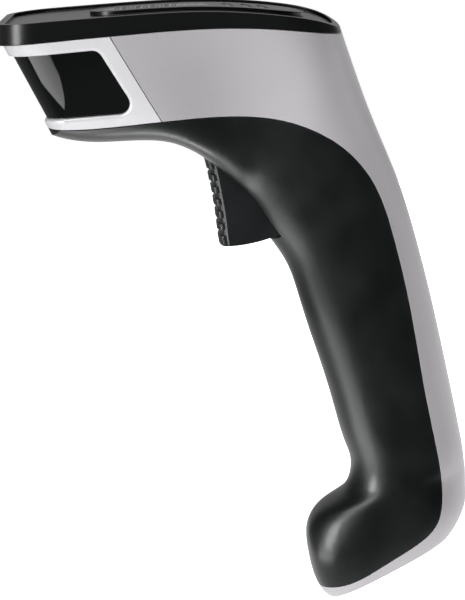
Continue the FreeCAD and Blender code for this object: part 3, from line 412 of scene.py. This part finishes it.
def amber_film(name):
    """Amber film with copper tracks showing through it."""
    look = Look(name)
    tracks = look.remap(look.bands(1.0 * MM, "Y"), 0.45, 0.55)
    look.set(Base_Color=look.mix(tracks, (0.42, 0.13, 0.015), (0.62, 0.26, 0.05)))
    look.set(Roughness=look.remap(look.noise(1.5 * MM), 0.3, 0.7, 0.2, 0.35), Coat_Weight=0.5)
    look.raise_by(tracks, 0.01 * MM)
    return look.finish()


def cell_wrap(name):
    """Shrink sleeve with a seam and small creases."""
    look = Look(name)
    crease = look.remap(look.noise(1.0, 4.0, look.stretched(260, 260, 60)), 0.5, 0.68)
    look.set(Base_Color=look.mix(crease, (0.02, 0.09, 0.36), (0.03, 0.13, 0.45)))
    look.set(Roughness=look.remap(crease, 0.0, 1.0, 0.25, 0.4), Coat_Weight=0.3)
    look.raise_by(crease, 0.02 * MM)
    return look.finish()


def plain_moulding(name, colour, roughness):
    """Uncoated moulded plastic with a fine grain."""
    look = Look(name)
    cloud = look.noise(6 * MM, 3.0)
    look.set(Base_Color=look.mix(cloud, tuple(0.85 * part for part in colour), colour))
    look.set(Roughness=look.remap(cloud, 0.3, 0.7, roughness - 0.05, roughness + 0.07))
    look.raise_by(look.noise(0.2 * MM, 2.0), 0.005 * MM)
    return look.finish(0.12 * MM)


def printed_ink(name):
    """Black ink, thin in places."""
    look = Look(name)
    wear = look.remap(look.noise(0.5 * MM, 4.0), 0.55, 0.75)
    look.set(Base_Color=look.mix(wear, (0.012, 0.012, 0.014), (0.09, 0.09, 0.095)))
    look.set(Roughness=look.remap(look.noise(0.9 * MM), 0.3, 0.7, 0.3, 0.45))
    look.raise_by(look.noise(0.15 * MM), 0.001 * MM)
    return look.finish()


def make_finishes():
    """Every material slot of the record and its looks."""
    shell_black, trigger_black = (0.0028, 0.0038, 0.0038), (0.0035, 0.0048, 0.0052)
    return {
        "silver_shell": satin_silver("silver_shell", (0.40, 0.385, 0.405), (0.47, 0.455, 0.475), 0.36),
        "bezel_shell": satin_silver("bezel_shell", (0.66, 0.655, 0.675), (0.73, 0.725, 0.745), 0.30),
        "black_shell": soft_touch_black("black_shell", shell_black, 0.34, 0.35 * MM, 0.008 * MM),
        "gloss_cover": gloss_black("gloss_cover", (0.0045, 0.0048, 0.0052), 0.28),
        "label_print": printed_label("label_print"),
        "light_window": smoked_lens("light_window"),
        "clear_guide": clear_moulding("clear_guide", (0.9, 0.93, 0.95), 0.08),
        "dark_window": filter_window("dark_window"),
        "seal_rubber": foam_rubber("seal_rubber", (0.02, 0.02, 0.02), 0.5 * MM),
        "trigger_plastic": soft_touch_black("trigger_plastic", trigger_black, 0.38, 0.3 * MM, 0.006 * MM),
        "pin_steel": bright_metal("pin_steel", (0.62, 0.62, 0.64), 0.22, (900, 90, 900)),
        "inner_plastic": plain_moulding("inner_plastic", (0.045, 0.045, 0.05), 0.55),
        "spring_steel": bright_metal("spring_steel", (0.5, 0.5, 0.52), 0.28, (900, 900, 300)),
        "plunger_plastic": plain_moulding("plunger_plastic", (0.62, 0.62, 0.57), 0.4),
        "circuit_board": solder_mask("circuit_board"),
        "engine_case": dark_casting("engine_case", (0.02, 0.02, 0.022)),
        "lens_barrel": gloss_black("lens_barrel", (0.008, 0.008, 0.016), 0.08),
        "led_clear": clear_moulding("led_clear", (0.92, 0.9, 0.8), 0.05),
        "bracket_steel": bright_metal("bracket_steel", (0.6, 0.6, 0.6), 0.34, (120, 1500, 1500)),
        "screw_steel": bright_metal("screw_steel", (0.55, 0.56, 0.58), 0.3, (1400, 1400, 1400)),
        "chip_epoxy": chip_epoxy("chip_epoxy"),
        "lead_cover": insulation("lead_cover", (0.42, 0.012, 0.012)),
        "flex_film": amber_film("flex_film"),
        "cell_wrap": cell_wrap("cell_wrap"),
        "contact_plate": bright_metal("contact_plate", (0.72, 0.6, 0.34), 0.26, (1500, 150, 1500)),
        "port_shell": bright_metal("port_shell", (0.68, 0.68, 0.7), 0.24, (1500, 1500, 200)),
    }


def dress_nodes(finishes):
    """Gives each node's slots the finish of the same name."""
    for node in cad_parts.values():
        for slot in node.material_slots:
            slot.material = finishes[slot.material.name]


def camera_axes(tree, vector):
    """A vector's parts along the camera's axes: X to the right, Z away from the camera."""
    turned = tree.nodes.new("ShaderNodeVectorTransform")
    turned.vector_type = "VECTOR"
    turned.convert_from = "WORLD"
    turned.convert_to = "CAMERA"
    tree.links.new(vector, turned.inputs[0])
    parts = tree.nodes.new("ShaderNodeSeparateXYZ")
    tree.links.new(turned.outputs[0], parts.inputs[0])
    return parts.outputs


def smooth_step(tree, value, span, start, end):
    """Goes smoothly from start to end as the value crosses the span."""
    node = tree.nodes.new("ShaderNodeMapRange")
    node.interpolation_type = "SMOOTHSTEP"
    tree.links.new(value, node.inputs["Value"])
    for name, number in (("From Min", span[0]), ("From Max", span[1]), ("To Min", start), ("To Max", end)):
        node.inputs[name].default_value = number
    return node.outputs["Result"]


def floor_light(look, place):
    """Light that the floor throws back: dark on the camera's side, bright beyond the scanner."""
    axes = camera_axes(look.tree, place)
    beyond = smooth_step(look.tree, axes["Z"], FLOOR_FADE, ROOM_DARK, FLOOR_BRIGHT)
    across = smooth_step(look.tree, axes["X"], FLOOR_SIDE, FLOOR_DIM, 1.0)
    return look.math("MULTIPLY", beyond, across)


def floor_material():
    """Pale sweep with a soft shadow. Reflections meet its own light instead, and it is clear from below."""
    look = Look("floor")
    look.set(Base_Color=look.mix(look.noise(0.6, 2.0), (0.86, 0.86, 0.865), (0.9, 0.9, 0.9)), Roughness=0.9)
    look.set(Emission_Color=(1.0, 1.0, 1.0), Emission_Strength=FLOOR_GLOW)
    place = look.add("ShaderNodeNewGeometry")
    bounce = look.add("ShaderNodeEmission")
    look.feed(bounce.inputs["Strength"], floor_light(look, place.outputs["Position"]))
    path = look.add("ShaderNodeLightPath")
    seen = look.add("ShaderNodeMixShader")
    look.feed(seen.inputs[0], path.outputs["Is Camera Ray"])
    look.feed(seen.inputs[1], bounce.outputs[0])
    look.feed(seen.inputs[2], look.surface.outputs[0])
    clear = look.add("ShaderNodeBsdfTransparent")
    choose = look.add("ShaderNodeMixShader")
    look.feed(choose.inputs[0], place.outputs["Backfacing"])
    look.feed(choose.inputs[1], seen.outputs[0])
    look.feed(choose.inputs[2], clear.outputs[0])
    look.feed(look.tree.nodes["Material Output"].inputs["Surface"], choose.outputs[0])
    return look.material


def mesh_piece(name, mesh, material):
    """A new object from a finished bmesh."""
    data = bpy.data.meshes.new(name)
    mesh.to_mesh(data)
    mesh.free()
    data.materials.append(material)
    piece = bpy.data.objects.new(name, data)
    bpy.context.scene.collection.objects.link(piece)
    return piece


def make_floor():
    """A wide round floor below the scanner."""
    mesh = bmesh.new()
    bmesh.ops.create_circle(mesh, cap_ends=True, segments=96, radius=FLOOR_RADIUS)
    for corner in mesh.verts:
        corner.co.z = cad_low.z - FLOOR_DROP
    floor = mesh_piece("floor", mesh, floor_material())


def make_world():
    """A soft room, bright beyond the scanner and dark behind the camera."""
    world = bpy.data.worlds.new("studio")
    bpy.context.scene.world = world
    world.use_nodes = True
    tree = world.node_tree
    tree.nodes.clear()
    place = tree.nodes.new("ShaderNodeTexCoord")
    background = tree.nodes.new("ShaderNodeBackground")
    background.inputs["Color"].default_value = (1.0, 1.0, 1.0, 1.0)
    away = camera_axes(tree, place.outputs["Generated"])["Z"]
    tree.links.new(smooth_step(tree, away, SKY_FADE, ROOM_DARK, SKY_BRIGHT), background.inputs["Strength"])
    output = tree.nodes.new("ShaderNodeOutputWorld")
    tree.links.new(background.outputs[0], output.inputs["Surface"])


def face_away(thing, away):
    """Turns a lamp or camera so that it looks against this direction."""
    thing.rotation_mode = "QUATERNION"
    thing.rotation_quaternion = away.to_track_quat("Z", "Y")


def area_lamp(name, place, away, width, height, power, spread=WIDE):
    """A rectangular lamp; away points from its target towards it."""
    data = bpy.data.lights.new(name, "AREA")
    data.shape = "RECTANGLE"
    data.size, data.size_y = width, height
    data.energy = power
    data.spread = math.radians(spread)
    lamp = bpy.data.objects.new(name, data)
    lamp.location = place
    face_away(lamp, away)
    bpy.context.scene.collection.objects.link(lamp)
    return lamp


def softbox(name, azimuth, rise, distance, width, height, power):
    """A rectangular lamp aimed at the middle of the picture."""
    a, e = math.radians(azimuth), math.radians(rise)
    away = Vector((-math.sin(a) * math.cos(e), -math.cos(a) * math.cos(e), math.sin(e)))
    return area_lamp(name, AIM + away * distance, away, width, height, power)


def let_through_floor(lamp):
    """Only the scanner's CAD nodes stop this lamp's light, so it can shine up from below the floor."""
    stoppers = bpy.data.collections.new(lamp.name + "_stoppers")
    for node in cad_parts.values():
        stoppers.objects.link(node)
    lamp.light_linking.blocker_collection = stoppers


def make_lights():
    """A broad key and top, fills that only brighten, and shines that only make highlights."""
    key = softbox("key", azimuth=72, rise=4, distance=1.1, width=0.9, height=1.1, power=7.5)
    key.visible_glossy = False
    softbox("top", azimuth=20, rise=72, distance=1.1, width=1.2, height=1.2, power=1.5)
    for name, azimuth, rise, power in FILLS:
        lamp = softbox(name, azimuth, rise, FILL_DISTANCE, FILL_SIZE, FILL_SIZE, power)
        lamp.visible_glossy = False
        let_through_floor(lamp)
    for name, azimuth, rise, width, power in SHINES:
        lamp = softbox(name, azimuth, rise, distance=1.1, width=width, height=1.0, power=power)
        lamp.visible_diffuse = False


def surface_height(tree, x, y):
    """Height of the surface under a point, looking straight down."""
    return tree.ray_cast(Vector((x, y, PROBE_HEIGHT)), Vector((0.0, 0.0, -1.0)))[0].z


def ink_block(mesh, tree, x0, x1, y0, y1):
    """A closed thin block of ink that follows the surface under its four corners."""
    rows = []
    for rise in (-INK_SINK, INK_RISE):
        row = [mesh.verts.new((x, y, surface_height(tree, x, y) + rise))
               for x, y in ((x0, y0), (x1, y0), (x1, y1), (x0, y1))]
        rows.append(row)
    low, high = rows
    mesh.faces.new(low[::-1])
    mesh.faces.new(high)
    for i in range(4):
        j = (i + 1) % 4
        mesh.faces.new((low[i], low[j], high[j], high[i]))


def label_marks():
    """Plain bars and two dashed lines on the label, with no readable text."""
    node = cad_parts["label_plate"]
    plate = bmesh.new()
    plate.from_object(node, bpy.context.evaluated_depsgraph_get())
    plate.transform(node.matrix_world)
    tree = BVHTree.FromBMesh(plate)
    plate.free()
    low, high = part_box("label_plate")
    start = low.x + MARKS_INSET
    mesh = bmesh.new()
    x = start
    for i in range(BAR_COUNT):
        width = BAR_UNIT * (1 + (i * i + 2 * i) % 3)
        ink_block(mesh, tree, x, x + width, -BAR_HALF, BAR_HALF)
        x += width + BAR_UNIT * (1 + i % 2)
    for middle in (low.y + DASH_INSET, high.y - DASH_INSET):
        for i in range(DASH_COUNT):
            x = start + i * DASH_PITCH
            ink_block(mesh, tree, x, x + DASH_LENGTH, middle - DASH_HALF, middle + DASH_HALF)
    marks = mesh_piece("label_marks", mesh, printed_ink("label_ink"))
    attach(marks, BODY)


def coil_spring():
    """Closed coil of round wire in place of the CAD spring; on the real part it shortens towards its upper
    seat as the trigger is pulled.
    """
    low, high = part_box("trigger_spring")
    middle = (low + high) / 2.0
    foot = Vector((middle.x, middle.y, low.z + SPRING_WIRE))
    up = Vector((0.0, 0.0, 1.0))
    climb = high.z - low.z - 2.0 * SPRING_WIRE
    mesh = bmesh.new()
    count = SPRING_TURNS * SPRING_STEPS
    rings = []
    for i in range(count + 1):
        turn = 2.0 * math.pi * i / SPRING_STEPS
        outward = Vector((math.cos(turn), math.sin(turn), 0.0))
        spot = foot + outward * SPRING_COIL + up * (climb * i / count)
        ring = []
        for j in range(WIRE_CORNERS):
            angle = 2.0 * math.pi * j / WIRE_CORNERS
            offset = outward * math.cos(angle) + up * math.sin(angle)
            ring.append(mesh.verts.new(spot + offset * SPRING_WIRE))
        rings.append(ring)
    for first, second in zip(rings[:-1], rings[1:]):
        for j in range(WIRE_CORNERS):
            k = (j + 1) % WIRE_CORNERS
            mesh.faces.new((first[j], second[j], second[k], first[k]))
    mesh.faces.new(rings[0])
    mesh.faces.new(rings[-1][::-1])
    bmesh.ops.recalc_face_normals(mesh, faces=mesh.faces)
    for face in mesh.faces:
        face.smooth = len(face.verts) == 4
    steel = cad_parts["trigger_spring"].material_slots[0].material
    spring = mesh_piece("coil_spring", mesh, steel)
    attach(spring, BODY)
    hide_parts("trigger_spring")
    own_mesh(spring)


def only_lights(source, node):
    """The lamp or glowing card is seen by one CAD node alone."""
    receivers = bpy.data.collections.new(source.name + "_receivers")
    receivers.objects.link(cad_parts[node])
    source.light_linking.receiver_collection = receivers


def make_close_shines():
    """Small lamps near the scanner, each making a soft highlight on one node."""
    for name, node, place, aim, width, height, power, spread in CLOSE_SHINES:
        away = (Vector(place) - Vector(aim)).normalized()
        lamp = area_lamp(name, place, away, width, height, power, spread)
        lamp.visible_diffuse = False
        only_lights(lamp, node)


def card_material():
    """Glow that fades towards the camera; what is behind it shows through."""
    look = Look("window_card")
    split = look.add("ShaderNodeSeparateXYZ")
    look.feed(split.inputs[0], look.place)
    fade = look.remap(split.outputs["Y"], *CARD_FADE, CARD_DIM * CARD_GLOW, CARD_GLOW)
    cloud = look.remap(look.noise(0.03), 0.3, 0.7, 0.93, 1.07)
    glow = look.add("ShaderNodeEmission")
    look.feed(glow.inputs["Strength"], look.math("MULTIPLY", fade, cloud))
    clear = look.add("ShaderNodeBsdfTransparent")
    both = look.add("ShaderNodeAddShader")
    look.feed(both.inputs[0], glow.outputs[0])
    look.feed(both.inputs[1], clear.outputs[0])
    look.feed(look.tree.nodes["Material Output"].inputs["Surface"], both.outputs[0])
    return look.material


def window_card():
    """A card that only the scan window mirrors, as a pale patch on its front corner."""
    mesh = bmesh.new()
    corners = [mesh.verts.new(CARD_MIDDLE + CARD_ACROSS * u + CARD_UP * v) for u, v in CARD_CORNERS]
    mesh.faces.new(corners)
    card = mesh_piece("window_card", mesh, card_material())
    card.visible_camera = False
    card.visible_diffuse = False
    card.visible_shadow = False
    only_lights(card, "scan_window")


def make_camera():
    """The camera, looking at the scanner's side from a little above."""
    data = bpy.data.cameras.new("camera")
    data.sensor_width = SENSOR
    data.lens = CAMERA_LENS
    data.clip_start, data.clip_end = 0.01, 60.0
    camera = bpy.data.objects.new("camera", data)
    back = Vector((0.0, -math.cos(CAMERA_RISE), math.sin(CAMERA_RISE)))
    camera.location = AIM + back * CAMERA_DISTANCE
    face_away(camera, back)
    bpy.context.scene.collection.objects.link(camera)
    bpy.context.scene.camera = camera


dress_nodes(make_finishes())
label_marks()
coil_spring()
make_floor()
make_world()
make_lights()
make_close_shines()
window_card()
make_camera()
bpy.context.scene.view_settings.view_transform = "Standard"
bpy.context.scene.view_settings.look = "None"
